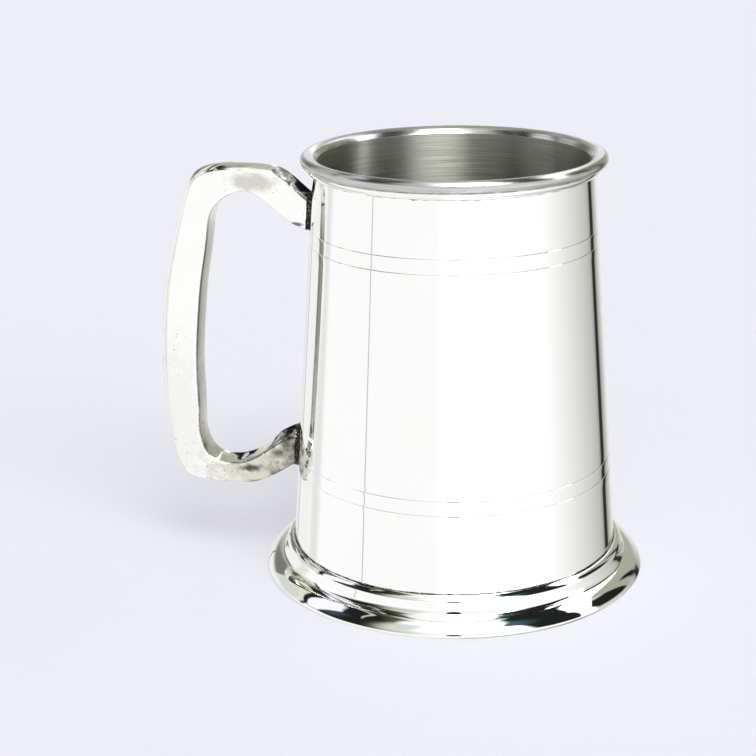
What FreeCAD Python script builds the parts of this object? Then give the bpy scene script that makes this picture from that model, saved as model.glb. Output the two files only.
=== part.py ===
"""One-pint pewter tankard: a tapered drum with a moulded rim, a moulded foot and a cast handle.

Frame: +Z up, origin on the drum's axis in the plane that the foot rests on.
The handle lies in the XZ plane on the -X side. All lengths are in millimetres.
"""

import FreeCAD, Part
import math
import os

import Sketcher

SIZES = {
    # drum, a truncated cone of sheet pewter
    "drum_foot": 3.0,
    "drum_mouth": 119.4,
    "drum_foot_radius": 46.73,
    "drum_mouth_radius": 38.20,
    "wall": 1.2,
    # engraved lines round the drum, from the lowest to the highest
    "line_low": 31.0,
    "line_second": 35.05,
    "line_third": 95.45,
    "line_high": 99.5,
    "line_half_width": 0.2,
    "line_depth": 0.15,
    # rim moulding: a round bead over a small quarter-round collar
    "rim_radius": 41.95,
    "bead_height": 118.4,
    "bead_radius": 1.6,
    "rim_top_curve": 6.0,
    "collar_foot": 114.7,
    "collar_foot_radius": 38.95,
    "collar_curve": 2.2,
    # foot moulding: bead, hollow, swelling and lip, from top to bottom
    "foot_top": 9.2,
    "foot_ledge_radius": 46.75,
    "foot_bead_radius": 48.5,
    "foot_bead_height": 7.0,
    "foot_bead_curve": 2.1,
    "hollow_top": 6.5,
    "hollow_foot_radius": 51.2,
    "hollow_foot": 3.7,
    "hollow_curve": 3.2,
    "swelling_radius": 54.0,
    "swelling_foot": 1.05,
    "swelling_curve": 4.5,
    "lip_radius": 54.3,
    "lip_top": 0.9,
    "lip_bottom": 0.5,
    "lip_curve": 0.5,
    "rest_outer_radius": 53.8,
    "rest_inner_radius": 51.0,
    # base disc, a shallow cap turned down inside the drum
    "floor_top": 6.0,
    "floor_bottom": 4.6,
    "flange_foot": 4.0,
    "flange_inner_radius": 44.0,
    # solder
    "joint_gap": 1.2,
    "seam_leg": 0.45,
    "base_seam_radius": 44.8,
    "base_seam_foot": 3.4,
    # handle
    "handle_depth": 9.6,
    "handle_outer_round": 2.0,
    "handle_inner_round": 1.0,
    "pad_depth": 10.2,
    "pad_corner": 1.6,
    "upper_pad_bottom": 97.0,
    "upper_pad_top": 108.6,
    "lower_pad_bottom": 27.0,
    "lower_pad_top": 38.2,
}

# Conical surfaces about the drum's axis, as lists of sizes added to the drum's outer radius.
WALLS = {
    "drum": "",
    "bore": " - wall",
    "groove": " - line_depth",
    "joint": " + joint_gap",
}

# The handle's side view: distance out from the drum's axis, and height.
# Each curve starts inside the drum at the upper joint and ends inside it at the lower joint.
HANDLE_BACK = [
    (36.5, 104.9), (43.3, 110.6), (48.0, 114.2), (53.0, 115.5), (60.5, 115.8), (68.0, 115.3),
    (73.0, 112.9), (76.2, 106.5), (80.0, 93.5), (83.1, 79.5), (84.7, 63.0), (84.8, 49.5),
    (83.3, 36.0), (81.9, 28.6), (78.8, 23.2), (73.0, 21.3), (64.5, 20.9), (57.0, 21.7),
    (50.0, 25.2), (41.0, 30.4),
]
HANDLE_GRIP = [
    (37.0, 96.7), (42.8, 98.7), (47.8, 101.8), (52.5, 105.9), (57.8, 108.4), (63.3, 106.7),
    (67.2, 103.2), (69.0, 95.7), (71.0, 84.0), (72.8, 69.5), (73.7, 55.0), (73.6, 43.5),
    (72.9, 33.3), (70.2, 29.4), (64.0, 28.0), (57.4, 30.2), (51.4, 34.2), (46.0, 37.1),
    (41.0, 38.6),
]

doc = FreeCAD.newDocument("Tankard")


def make_sheet():
    """The spreadsheet that holds the driving dimensions, one named cell each."""
    sheet = doc.addObject("Spreadsheet::Sheet", "Sizes")
    for row, (name, value) in enumerate(SIZES.items(), 1):
        sheet.set(f"A{row}", name)
        sheet.set(f"B{row}", str(value))
        sheet.setAlias(f"B{row}", name)
    doc.recompute()
    return sheet


def amount(terms):
    """The length of a sum of sizes such as 'foot_top + seam_leg'."""
    total = 0.0
    sign = 1.0
    for word in terms.split():
        if word in ("+", "-"):
            sign = 1.0 if word == "+" else -1.0
        else:
            total += sign * SIZES[word]
    return total


def formula(terms):
    """The same sum as an expression on the spreadsheet."""
    return " ".join(word if word in ("+", "-") else f"Sizes.{word}" for word in terms.split())


def wall_radius(wall, height):
    """Radius of a conical surface at a height."""
    foot = amount("drum_foot_radius" + WALLS[wall])
    mouth = amount("drum_mouth_radius" + WALLS[wall])
    share = (height - SIZES["drum_foot"]) / (SIZES["drum_mouth"] - SIZES["drum_foot"])
    return foot + share * (mouth - foot)


def new_sketch(body, name, role):
    """A sketch on one of the body's own origin planes."""
    plane = next(item for item in body.Origin.OriginFeatures if item.Role == role)
    sketch = body.newObject("Sketcher::SketchObject", name)
    sketch.AttachmentSupport = [(plane, "")]
    sketch.MapMode = "FlatFace"
    return sketch


def bind(sketch, kind, *where, terms):
    """Adds a dimension to a sketch and ties it to the spreadsheet."""
    index = sketch.addConstraint(Sketcher.Constraint(kind, *where, amount(terms)))
    sketch.renameConstraint(index, f"size_{index}")
    sketch.setExpression(f".Constraints.size_{index}", formula(terms))


def pin(sketch, edge, end, radius, height):
    """Fixes one end of an edge at a radius and a height given as sums of sizes."""
    bind(sketch, "DistanceX", -1, 1, edge, end, terms=radius)
    bind(sketch, "DistanceY", -1, 1, edge, end, terms=height)


def add_walls(sketch, names):
    """Construction lines for the conical surfaces that an outline touches."""
    lines = {}
    for name in sorted(names):
        foot = FreeCAD.Vector(wall_radius(name, SIZES["drum_foot"]), SIZES["drum_foot"], 0)
        mouth = FreeCAD.Vector(wall_radius(name, SIZES["drum_mouth"]), SIZES["drum_mouth"], 0)
        lines[name] = sketch.addGeometry(Part.LineSegment(foot, mouth), True)
        pin(sketch, lines[name], 1, "drum_foot_radius" + WALLS[name], "drum_foot")
        pin(sketch, lines[name], 2, "drum_mouth_radius" + WALLS[name], "drum_mouth")
    return lines


def corner_point(radius, height):
    """Where a corner of an outline lies in its sketch."""
    level = 0.0 if height == "ground" else amount(height)
    if radius == "axis":
        return FreeCAD.Vector(0, level, 0)
    if radius in WALLS:
        return FreeCAD.Vector(wall_radius(radius, level), level, 0)
    return FreeCAD.Vector(amount(radius), level, 0)


def arc_between(start, end, radius, turn):
    """The shorter arc from start to end; turn is 1 for anticlockwise and -1 for clockwise."""
    chord = end - start
    left = FreeCAD.Vector(-chord.y, chord.x, 0).normalize()
    rise = math.sqrt(radius ** 2 - (chord.Length / 2) ** 2)
    centre = (start + end) / 2 + left * rise * turn
    first, last = (start, end) if turn > 0 else (end, start)
    angles = [math.atan2(point.y - centre.y, point.x - centre.x) for point in (first, last)]
    return Part.ArcOfCircle(Part.Circle(centre, FreeCAD.Vector(0, 0, 1), radius), *angles)


def add_outline(sketch, corners, arcs):
    """A closed outline of radius and height, anticlockwise.

    A corner's radius is a sum of sizes, the name of a conical surface, or 'axis'.
    arcs gives the size of the curve, and its turn, that leaves a corner by its number.
    """
    walls = add_walls(sketch, {radius for radius, _ in corners if radius in WALLS})
    points = [corner_point(*corner) for corner in corners]
    ends = []
    for number, start in enumerate(points):
        end = points[(number + 1) % len(points)]
        if number in arcs:
            size, turn = arcs[number]
            edge = sketch.addGeometry(arc_between(start, end, SIZES[size], turn))
            ends.append((edge, 1, 2) if turn > 0 else (edge, 2, 1))
        else:
            edge = sketch.addGeometry(Part.LineSegment(start, end))
            ends.append((edge, 1, 2))
    for number, (edge, begin, _) in enumerate(ends):
        before, _, finish = ends[number - 1]
        sketch.addConstraint(Sketcher.Constraint("Coincident", before, finish, edge, begin))
    for number, (edge, begin, _) in enumerate(ends):
        radius, height = corners[number]
        if radius == "axis":
            sketch.addConstraint(Sketcher.Constraint("PointOnObject", edge, begin, -2))
        elif radius in WALLS:
            sketch.addConstraint(Sketcher.Constraint("PointOnObject", edge, begin, walls[radius]))
        else:
            bind(sketch, "DistanceX", -1, 1, edge, begin, terms=radius)
        if height == "ground":
            sketch.addConstraint(Sketcher.Constraint("PointOnObject", edge, begin, -1))
        else:
            bind(sketch, "DistanceY", -1, 1, edge, begin, terms=height)
        if number in arcs:
            bind(sketch, "Radius", edge, terms=arcs[number][0])


def revolved(name, corners, arcs=None):
    """A sub-part turned about the drum's axis from a closed outline."""
    body = doc.addObject("PartDesign::Body", name)
    sketch = new_sketch(body, name + "_outline", "XZ_Plane")
    add_outline(sketch, corners, arcs or {})
    turning = body.newObject("PartDesign::Revolution", name + "_turning")
    turning.Profile = sketch
    turning.ReferenceAxis = (sketch, ["V_Axis"])
    turning.Angle = 360
    return body


def make_drum():
    """The drum's wall, with four fine V-shaped lines cut round the outside."""
    corners = [("bore", "drum_foot"), ("drum", "drum_foot")]
    for line in ("line_low", "line_second", "line_third", "line_high"):
        corners.append(("drum", line + " - line_half_width"))
        corners.append(("groove", line))
        corners.append(("drum", line + " + line_half_width"))
    corners.append(("drum", "drum_mouth"))
    mouth_corner = len(corners) - 1
    corners.append(("bore", "drum_mouth - wall"))
    return revolved("body_drum", corners, {mouth_corner: ("rim_top_curve", 1)})


def make_rim():
    """The applied ring at the mouth: collar, crease, round bead and a crowned top."""
    corners = [
        ("drum", "collar_foot"),
        ("collar_foot_radius", "collar_foot"),
        ("rim_radius - bead_radius", "bead_height - bead_radius"),
        ("rim_radius", "bead_height"),
        ("rim_radius - bead_radius", "bead_height + bead_radius"),
        ("drum", "drum_mouth"),
    ]
    arcs = {
        1: ("collar_curve", 1),
        2: ("bead_radius", 1),
        3: ("bead_radius", 1),
        4: ("rim_top_curve", 1),
    }
    return revolved("rim_moulding", corners, arcs)


def make_foot():
    """The cast ring that spreads under the drum and rests on a flat annulus."""
    corners = [
        ("drum", "drum_foot"),
        ("rest_inner_radius", "ground"),
        ("rest_outer_radius", "ground"),
        ("lip_radius", "lip_bottom"),
        ("lip_radius", "lip_top"),
        ("swelling_radius", "swelling_foot"),
        ("hollow_foot_radius", "hollow_foot"),
        ("foot_bead_radius", "hollow_top"),
        ("foot_bead_radius", "foot_bead_height"),
        ("foot_ledge_radius", "foot_top"),
        ("drum", "foot_top"),
    ]
    arcs = {
        2: ("lip_curve", 1),
        5: ("swelling_curve", 1),
        6: ("hollow_curve", -1),
        8: ("foot_bead_curve", 1),
    }
    return revolved("foot_ring", corners, arcs)


def make_base():
    """The drum's floor, with its edge turned down against the wall."""
    corners = [
        ("axis", "floor_bottom"),
        ("flange_inner_radius", "floor_bottom"),
        ("flange_inner_radius", "flange_foot"),
        ("bore", "flange_foot"),
        ("bore", "floor_top"),
        ("axis", "floor_top"),
    ]
    return revolved("base_disc", corners)


def make_seams():
    """Solder fillets where the floor, the foot and the rim meet the drum."""
    base = [
        ("base_seam_radius", "flange_foot"),
        ("bore", "base_seam_foot"),
        ("bore", "flange_foot"),
    ]
    foot = [
        ("drum", "foot_top"),
        ("foot_ledge_radius", "foot_top"),
        ("drum", "foot_top + seam_leg"),
    ]
    rim = [
        ("drum", "collar_foot - seam_leg"),
        ("collar_foot_radius", "collar_foot"),
        ("drum", "collar_foot"),
    ]
    return [
        revolved("base_solder_seam", base),
        revolved("foot_solder_seam", foot),
        revolved("rim_solder_seam", rim),
    ]


def handle_curve(points):
    """A smooth curve through points of the handle's side view, which lies towards -X."""
    curve = Part.BSplineCurve()
    curve.interpolate([FreeCAD.Vector(-out, height, 0) for out, height in points])
    return curve


def rounded(body, base, curve_length, reach, size, name):
    """Rounds the two long edges of the handle that come as far out as reach."""
    half = SIZES["handle_depth"] / 2
    chosen = []
    for number, edge in enumerate(base.Shape.Edges, 1):
        on_side = all(abs(abs(vertex.Y) - half) < 1e-4 for vertex in edge.Vertexes)
        furthest = -edge.BoundBox.XMin
        if on_side and edge.Length > curve_length and abs(furthest - reach) < 1.0:
            chosen.append(f"Edge{number}")
    fillet = body.newObject("PartDesign::Fillet", name)
    fillet.Base = (base, chosen)
    fillet.setExpression("Radius", f"Sizes.{size}")
    doc.recompute()
    return fillet


def make_handle():
    """The cast handle: a flat-sided loop whose ends are shaped to the solder on the drum."""
    body = doc.addObject("PartDesign::Body", "handle")
    side = new_sketch(body, "handle_side", "XZ_Plane")
    back = side.addGeometry(handle_curve(HANDLE_BACK))
    grip = side.addGeometry(handle_curve(HANDLE_GRIP))
    for end, index in ((1, 0), (2, -1)):
        first = FreeCAD.Vector(-HANDLE_BACK[index][0], HANDLE_BACK[index][1], 0)
        last = FreeCAD.Vector(-HANDLE_GRIP[index][0], HANDLE_GRIP[index][1], 0)
        close = side.addGeometry(Part.LineSegment(first, last))
        side.addConstraint(Sketcher.Constraint("Coincident", back, end, close, 1))
        side.addConstraint(Sketcher.Constraint("Coincident", grip, end, close, 2))
    casting = body.newObject("PartDesign::Pad", "handle_casting")
    casting.Profile = side
    casting.SideType = "Symmetric"
    casting.setExpression("Length", "Sizes.handle_depth")
    doc.recompute()
    before = casting.Shape.Volume
    ends = new_sketch(body, "handle_ends", "XZ_Plane")
    corners = [("axis", "drum_foot"), ("joint", "drum_foot"), ("joint", "drum_mouth"), ("axis", "drum_mouth")]
    add_outline(ends, corners, {})
    shaped = body.newObject("PartDesign::Groove", "handle_shaped_ends")
    shaped.Profile = ends
    shaped.ReferenceAxis = (ends, ["V_Axis"])
    shaped.Angle = 360
    doc.recompute()
    if shaped.Shape.Volume >= before:
        raise SystemExit("the handle's ends were not shaped to the drum")
    back_reach = max(out for out, _ in HANDLE_BACK)
    grip_reach = max(out for out, _ in HANDLE_GRIP)
    outer = rounded(body, shaped, 80.0, back_reach, "handle_outer_round", "handle_outer_rounding")
    rounded(body, outer, 80.0, grip_reach, "handle_inner_round", "handle_inner_rounding")
    return body


def make_cone(name, wall):
    """A solid cone whose side is one of the conical surfaces."""
    cone = doc.addObject("Part::Cone", name)
    cone.setExpression("Radius1", formula("drum_foot_radius" + WALLS[wall]))
    cone.setExpression("Radius2", formula("drum_mouth_radius" + WALLS[wall]))
    cone.setExpression("Height", formula("drum_mouth - drum_foot"))
    cone.setExpression("Placement.Base.z", formula("drum_foot"))
    return cone


def make_pad(name, outer_cone, inner_cone, bottom, top):
    """The solder between one end of the handle and the drum, a curved pad with round corners."""
    block = doc.addObject("Part::Box", name + "_block")
    block.setExpression("Length", "Sizes.lip_radius")
    block.setExpression("Width", "Sizes.pad_depth")
    block.setExpression("Height", formula(f"{top} - {bottom}"))
    block.setExpression("Placement.Base.x", "-Sizes.lip_radius")
    block.setExpression("Placement.Base.y", "-Sizes.pad_depth / 2")
    block.setExpression("Placement.Base.z", formula(bottom))
    doc.recompute()
    corner = SIZES["pad_corner"]
    long_edges = [
        (number, corner, corner)
        for number, edge in enumerate(block.Shape.Edges, 1)
        if edge.BoundBox.XLength > SIZES["lip_radius"] / 2
    ]
    soft_block = doc.addObject("Part::Fillet", name + "_soft_block")
    soft_block.Base = block
    soft_block.Edges = long_edges
    outside = doc.addObject("Part::Common", name + "_outside")
    outside.Base = soft_block
    outside.Tool = outer_cone
    pad = doc.addObject("Part::Cut", name)
    pad.Base = outside
    pad.Tool = inner_cone
    return pad


def make_pads():
    """The two solder pads that hold the handle."""
    drum = make_cone("drum_cone", "drum")
    joint = make_cone("joint_cone", "joint")
    return [
        make_pad("upper_handle_solder", joint, drum, "upper_pad_bottom", "upper_pad_top"),
        make_pad("lower_handle_solder", joint, drum, "lower_pad_bottom", "lower_pad_top"),
    ]


def write(parts):
    """Checks the whole document, then writes one file for each sub-part."""
    doc.recompute()
    for item in doc.Objects:
        if {"Invalid", "Error"} & set(item.State):
            raise SystemExit(f"{item.Name} failed: {item.State}")
    for part in parts:
        shape = part.Shape
        if shape.isNull() or not shape.isValid() or len(shape.Solids) != 1:
            raise SystemExit(f"{part.Label} is not one valid solid")
    os.makedirs("parts", exist_ok=True)
    for part in parts:
        part.Shape.exportStep(f"parts/{part.Label}.step")
        box = part.Shape.BoundBox
        print(f"{part.Label:22s} {part.Shape.Volume / 1000:8.3f} cm3", end="  ")
        print(f"x {box.XMin:.2f} {box.XMax:.2f}  y {box.YMin:.2f} {box.YMax:.2f}", end="  ")
        print(f"z {box.ZMin:.2f} {box.ZMax:.2f}")


make_sheet()
write([make_drum(), make_rim(), make_foot(), make_base(), make_handle()] + make_seams() + make_pads())
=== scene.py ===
"""One-pint pewter tankard: the finished pieces, a plain studio and the camera.

Everything is in metres in the part's own frame: +Z up, origin on the drum's axis where the foot rests,
handle towards -X. Outlines are written in millimetres and brought to metres by the mesh builders.
"""

import math

import bmesh
import bpy
import numpy as np
from mathutils import Matrix, Vector, noise


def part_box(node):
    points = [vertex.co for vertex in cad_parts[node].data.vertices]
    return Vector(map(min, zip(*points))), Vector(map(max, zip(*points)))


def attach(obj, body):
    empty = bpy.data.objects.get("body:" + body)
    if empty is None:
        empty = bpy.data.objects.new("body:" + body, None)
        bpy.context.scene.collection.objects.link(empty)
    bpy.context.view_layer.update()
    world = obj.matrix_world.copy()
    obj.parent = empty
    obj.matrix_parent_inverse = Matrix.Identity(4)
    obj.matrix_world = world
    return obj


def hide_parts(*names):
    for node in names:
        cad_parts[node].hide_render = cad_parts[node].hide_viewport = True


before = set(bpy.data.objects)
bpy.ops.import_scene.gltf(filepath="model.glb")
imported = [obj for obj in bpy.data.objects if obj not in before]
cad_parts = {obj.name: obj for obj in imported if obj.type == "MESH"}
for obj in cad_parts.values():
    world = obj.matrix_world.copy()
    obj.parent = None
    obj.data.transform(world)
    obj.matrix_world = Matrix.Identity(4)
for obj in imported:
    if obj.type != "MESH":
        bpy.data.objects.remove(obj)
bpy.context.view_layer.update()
MM = 0.001


def box_mm(node):
    """Lowest and highest corner of a CAD node, in millimetres."""
    low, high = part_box(node)
    return np.array(low) / MM, np.array(high) / MM


DRUM_LOW, DRUM_HIGH = box_mm("body_drum")
RIM_LOW, RIM_HIGH = box_mm("rim_moulding")
FOOT_HIGH = box_mm("foot_ring")[1]
BASE_LOW, BASE_HIGH = box_mm("base_disc")
HANDLE_LOW, HANDLE_HIGH = box_mm("handle")

# The drum: a truncated cone of sheet, with four fine lines cut round it at these heights.
WALL = 1.2
MOUTH_RADIUS = 38.20
FOOT_RADIUS = float(DRUM_HIGH[0])
TAPER = (FOOT_RADIUS - MOUTH_RADIUS) / float(DRUM_HIGH[2] - DRUM_LOW[2])
LINES = (31.0, 35.05, 95.45, 99.5)
LINE_HALF_WIDTH = 0.15
LINE_DEPTH = 0.07
# Room for solder between the drum and the handle's ends.
JOINT_GAP = 1.2

STEPS_ROUND = 400
FLOOR_STEPS_ROUND = 240


def drum_radius(height):
    """Outer radius of the drum at a height."""
    return FOOT_RADIUS - TAPER * (height - float(DRUM_LOW[2]))


# ------------------------------------------------ outlines


def arc(start, end, radius, turn, count=28):
    """Points after start, up to end, on the shorter arc; turn is 1 for anticlockwise."""
    start, end = np.array(start, float), np.array(end, float)
    chord = end - start
    length = math.hypot(*chord)
    left = np.array([-chord[1], chord[0]]) / length
    centre = (start + end) / 2 + left * turn * math.sqrt(radius**2 - (length / 2) ** 2)
    first = math.atan2(start[1] - centre[1], start[0] - centre[0])
    last = math.atan2(end[1] - centre[1], end[0] - centre[0])
    if turn > 0 and last < first:
        last += 2 * math.pi
    if turn < 0 and last > first:
        last -= 2 * math.pi
    angles = np.linspace(first, last, count + 1)[1:]
    return [tuple(centre + radius * np.array([math.cos(angle), math.sin(angle)])) for angle in angles]


def extended(values, count):
    """The values with count more at each end, mirrored through the end ones."""
    before = 2 * values[0] - values[count:0:-1]
    after = 2 * values[-1] - values[-2:-count - 2:-1]
    return np.concatenate([before, values, after])


def softened(points, softness, closed=True, spacing=0.03, bend=2.0, reach=2.5):
    """A fine outline with its corners eased; returns points and outward normals.

    points run anticlockwise. softness is how far the easing spreads along the outline. A point is kept
    where the outline has turned by bend degrees or run on by reach since the last one.
    """
    line = np.array(points, float)
    if closed:
        line = np.vstack([line, line[:1]])
    steps = np.hypot(*np.diff(line, axis=0).T)
    along = np.concatenate([[0], np.cumsum(steps)])
    count = int(along[-1] / spacing)
    where = np.linspace(0, along[-1], count, endpoint=not closed)
    fine = np.stack([np.interp(where, along, line[:, k]) for k in (0, 1)], 1)
    reach_of_blur = int(4 * softness / spacing) + 1
    kernel = np.exp(-0.5 * (np.arange(-reach_of_blur, reach_of_blur + 1) * spacing / softness) ** 2)
    kernel /= kernel.sum()
    if closed:
        padded = np.vstack([fine[-reach_of_blur:], fine, fine[:reach_of_blur]])
    else:
        padded = extended(fine, reach_of_blur)
    smooth = np.stack([np.convolve(padded[:, k], kernel, "valid") for k in (0, 1)], 1)
    if closed:
        ahead = np.roll(smooth, -1, 0) - np.roll(smooth, 1, 0)
    else:
        ahead = np.gradient(smooth, axis=0)
    ahead /= np.hypot(*ahead.T)[:, None]
    normals = np.stack([ahead[:, 1], -ahead[:, 0]], 1)
    kept, turned, gone = [0], 0.0, 0.0
    for i in range(1, len(smooth)):
        cross = ahead[i - 1, 0] * ahead[i, 1] - ahead[i - 1, 1] * ahead[i, 0]
        turned += abs(math.degrees(math.asin(max(-1.0, min(1.0, cross)))))
        gone += spacing
        if turned > bend or gone > reach:
            kept.append(i)
            turned, gone = 0.0, 0.0
    if not closed and kept[-1] != len(smooth) - 1:
        kept.append(len(smooth) - 1)
    return smooth[kept], normals[kept]


class Ripple:
    """Very shallow unevenness round a turned surface, the same on every run. It only takes metal away."""

    def __init__(self, seed, depth, around, along, count=10):
        rng = np.random.default_rng(seed)
        self.around = rng.integers(1, around, count)
        self.along = rng.uniform(-1, 1, count) * 2 * math.pi / along
        self.phase = rng.uniform(0, 2 * math.pi, count)
        self.depth = depth / math.sqrt(count) * rng.uniform(0.5, 1.0, count)

    def at(self, angle, height):
        """Depth, and its slope per radian and per millimetre of height."""
        turn = np.zeros(np.broadcast(angle, height).shape)
        rise, value = turn.copy(), turn - self.depth.sum()
        for around, along, phase, depth in zip(self.around, self.along, self.phase, self.depth):
            wave = around * angle + along * height + phase
            value += depth * np.cos(wave)
            turn -= depth * around * np.sin(wave)
            rise -= depth * along * np.sin(wave)
        return value, turn, rise


def angles_round(steps):
    """Even angles once round."""
    return np.arange(steps) * 2 * math.pi / steps


def bands(rows, around, closed=False, flipped=False):
    """Quads between neighbouring rings of points; closed joins the last ring to the first."""
    faces = []
    for row in range(rows if closed else rows - 1):
        here, there = row * around, (row + 1) % rows * around
        for step in range(around):
            ahead = (step + 1) % around
            if flipped:
                faces.append((here + step, there + step, there + ahead, here + ahead))
            else:
                faces.append((here + step, here + ahead, there + ahead, there + step))
    return faces


def mesh_object(name, vertices, faces, normals=None):
    """A mesh in metres from vertices in millimetres."""
    mesh = bpy.data.meshes.new(name)
    mesh.from_pydata((np.asarray(vertices) * MM).tolist(), [], faces)
    mesh.update()
    mesh.shade_smooth()
    if normals is not None:
        mesh.normals_split_custom_set_from_vertices(np.asarray(normals).tolist())
    piece = bpy.data.objects.new(name, mesh)
    bpy.context.scene.collection.objects.link(piece)
    return piece


def turned(name, points, softness, ripple):
    """A closed outline of radius and height turned about the axis."""
    outline, slopes = softened(points, softness)
    rows, steps = len(outline), STEPS_ROUND
    angles = angles_round(steps)
    radius = np.repeat(outline[:, :1], steps, 1)
    height = np.repeat(outline[:, 1:], steps, 1)
    turn = np.repeat(angles[None, :], rows, 0)
    out, up = slopes[:, :1] * np.ones_like(turn), slopes[:, 1:] * np.ones_like(turn)
    depth, per_angle, per_height = ripple.at(turn, height)
    radius = radius + out * depth
    height = height + up * depth
    along = per_height * out
    around = -per_angle / radius
    out, up = out + up * along, up - out * along
    cos, sin = np.cos(turn), np.sin(turn)
    vertices = np.stack([radius * cos, radius * sin, height], -1).reshape(-1, 3)
    normals = np.stack([out * cos - around * sin, out * sin + around * cos, up], -1).reshape(-1, 3)
    normals /= np.linalg.norm(normals, axis=1, keepdims=True)
    return mesh_object(name, vertices, bands(rows, steps, closed=True), normals)


# ------------------------------------------------ turned pieces


def drum_outline():
    """Outside upwards with its four lines, over the mouth, and down the inside."""
    bottom, top = float(DRUM_LOW[2]), float(DRUM_HIGH[2])
    points = [(drum_radius(bottom), bottom)]
    for line in LINES:
        points.append((drum_radius(line - LINE_HALF_WIDTH), line - LINE_HALF_WIDTH))
        points.append((drum_radius(line) - LINE_DEPTH, line))
        points.append((drum_radius(line + LINE_HALF_WIDTH), line + LINE_HALF_WIDTH))
    points.append((drum_radius(top), top))
    mouth = (drum_radius(top - WALL) - WALL, top - WALL)
    points += arc(points[-1], mouth, 6.0, 1)
    points.append((drum_radius(bottom) - WALL, bottom))
    return points


def rim_outline():
    """The applied ring at the mouth: collar, crease, round bead and crowned top."""
    radius, top, foot = float(RIM_HIGH[0]), float(RIM_HIGH[2]), float(RIM_LOW[2])
    bead = 1.6
    crest = radius - bead
    points = [(drum_radius(foot), foot), (38.95, foot)]
    points += arc(points[-1], (crest, top - 2 * bead), 2.2, 1)
    points += arc(points[-1], (radius, top - bead), bead, 1)
    points += arc(points[-1], (crest, top), bead, 1)
    lip = float(DRUM_HIGH[2])
    points += arc(points[-1], (drum_radius(lip), lip), 6.0, 1)
    return points


def foot_outline():
    """The spreading foot: rest, lip, swelling, hollow and bead, open underneath."""
    points = [(FOOT_RADIUS, float(DRUM_LOW[2])), (51.0, 0.0), (53.8, 0.0), (54.145, 0.507)]
    points += arc(points[-1], (54.20, 1.00), 0.45, 1)
    points += arc(points[-1], (49.71, 4.465), 6.64, 1)
    points += arc(points[-1], (49.17, 4.85), 0.8, -1)
    points += arc(points[-1], (48.45, 7.25), 6.0, -1)
    points += arc(points[-1], (46.75, 9.2), 2.1, 1)
    points.append((drum_radius(9.2), 9.2))
    return points


def base_outline():
    """The floor, with its edge turned down against the wall."""
    thickness, edge_inside = 1.4, 44.0
    top, foot = float(BASE_HIGH[2]), float(BASE_LOW[2])
    bottom = top - thickness
    return [
        (0.0, bottom), (edge_inside, bottom), (edge_inside, foot),
        (drum_radius(foot) - WALL, foot), (drum_radius(top) - WALL, top), (0.0, top),
    ]


def floor_disc(name):
    """The floor turned from an open outline that starts and ends on the axis."""
    outline, slopes = softened(base_outline(), 0.12, closed=False)
    steps = FLOOR_STEPS_ROUND
    angles = angles_round(steps)
    vertices, normals = [], []
    inner = outline[1:-1]
    for (radius, height), (out, up) in zip(inner, slopes[1:-1]):
        for angle in angles:
            vertices.append((radius * math.cos(angle), radius * math.sin(angle), height))
            normals.append((out * math.cos(angle), out * math.sin(angle), up))
    underneath, on_top = len(vertices), len(vertices) + 1
    vertices += [(0, 0, outline[0][1]), (0, 0, outline[-1][1])]
    normals += [(0, 0, -1), (0, 0, 1)]
    rows = len(inner)
    last = (rows - 1) * steps
    faces = bands(rows, steps)
    for step in range(steps):
        ahead = (step + 1) % steps
        faces.append((underneath, ahead, step))
        faces.append((on_top, last + step, last + ahead))
    return mesh_object(name, vertices, faces, normals)


# ------------------------------------------------ handle

# The handle's side view, distance out and height: its back, then its grip side, both from the upper
# joint round to the lower one. They follow the outline in the photograph, picked one by one and rounded.
HANDLE_BACK = [
    (36.5, 104.9), (43.3, 110.6), (48.0, 114.2), (53.0, 115.5), (60.5, 115.8), (68.0, 115.3),
    (73.0, 112.9), (76.2, 106.5), (80.0, 93.5), (83.1, 79.5), (84.68, 63.0), (84.75, 49.5),
    (83.3, 36.0), (81.9, 28.6), (78.8, 23.2), (73.0, 21.3), (64.5, 20.9), (57.0, 21.7),
    (50.0, 25.2), (41.0, 30.4),
]
HANDLE_GRIP = [
    (37.0, 96.7), (42.8, 98.7), (47.8, 101.8), (52.5, 105.9), (57.8, 108.4), (63.3, 106.7),
    (67.2, 103.2), (69.0, 95.7), (71.0, 84.0), (72.8, 69.5), (73.7, 55.0), (73.6, 43.5),
    (72.9, 33.3), (70.2, 29.4), (64.0, 28.0), (57.4, 30.2), (51.4, 34.2), (46.0, 37.1),
    (41.0, 38.6),
]
# Matching places on the two curves, as numbers of the points above.
HANDLE_MATCH = [
    (0, 0), (2, 2), (5, 4.6), (6.5, 6.0), (9, 8.4),
    (12, 11), (13.6, 12.5), (16, 14.0), (18, 16.4), (19, 18),
]
HANDLE_DEPTH = float(HANDLE_HIGH[1] - HANDLE_LOW[1])
HANDLE_STATIONS = 760
# How far the middle of the inside stands proud of its edges: on the grip, and near the lower joint.
GRIP_CROWN = 0.12
LOWER_CROWN = 2.0
# The lower arm's crown begins this far out from the axis, and is full this much nearer in.
LOWER_CROWN_FROM = 55.0
LOWER_CROWN_OVER = 4.5


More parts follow.
